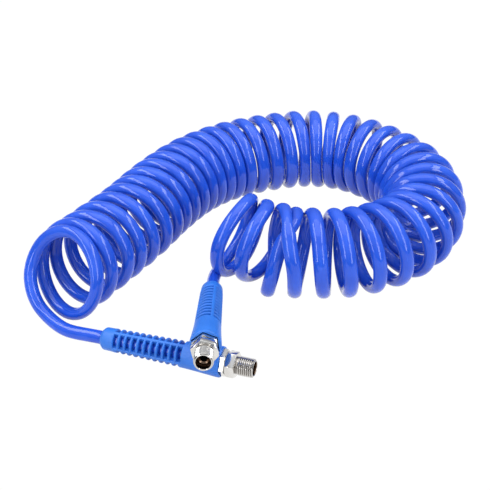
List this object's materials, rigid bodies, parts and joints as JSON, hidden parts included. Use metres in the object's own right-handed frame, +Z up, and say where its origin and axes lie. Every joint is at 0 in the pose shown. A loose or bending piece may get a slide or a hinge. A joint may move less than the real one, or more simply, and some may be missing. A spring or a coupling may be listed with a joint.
{
  "type": "coiled air hose",
  "caption": "Coiled blue air hose lying in an open curve, with a slotted bend guard and a male-thread swivel fitting on each end.",
  "frame": {"origin": "on the surface the hose lies on, under the middle of the whole part's box", "axes": "+Z up from the surface; +X along the longer side, towards the closed bend of the coil; +Y along the other side, away from the two fittings"},
  "size_m": [0.35, 0.3392, 0.07],
  "materials": {
    "hose": "glossy, slightly translucent polyurethane",
    "guard": "satin moulded plastic",
    "plated": "bright nickel plating",
    "ferrule": "drawn and crimped",
    "washer": "smooth low-friction plastic",
    "seal": "moulded",
    "spring_steel": "bright wire"
  },
  "bodies": {
    "hose": {"hose_coil": "hose", "hose_tail_a": "hose", "hose_tail_b": "hose", "bend_guard_a": "guard", "crimp_ferrule_a": "ferrule", "stem_a": "plated", "thrust_washer_a": "washer", "o_ring_a": "seal", "retaining_ring_a": "spring_steel", "bend_guard_b": "guard", "crimp_ferrule_b": "ferrule", "stem_b": "plated", "thrust_washer_b": "washer", "o_ring_b": "seal", "retaining_ring_b": "spring_steel"},
    "swivel_a": {"swivel_nut_a": "plated"},
    "swivel_b": {"swivel_nut_b": "plated"}
  },
  "joints": [
    {"name": "swivel_nut_a_turn", "type": "hinge", "parent": "hose", "child": "swivel_a", "pos_m": [-0.01674, -0.13592, 0.01141], "axis": [0.9451, -0.3254, 0.0314], "continuous": true},
    {"name": "swivel_nut_b_turn", "type": "hinge", "parent": "hose", "child": "swivel_b", "pos_m": [-0.03459, -0.15218, 0.03736], "axis": [-0.017, -0.9765, 0.2147], "continuous": true}
  ]
}
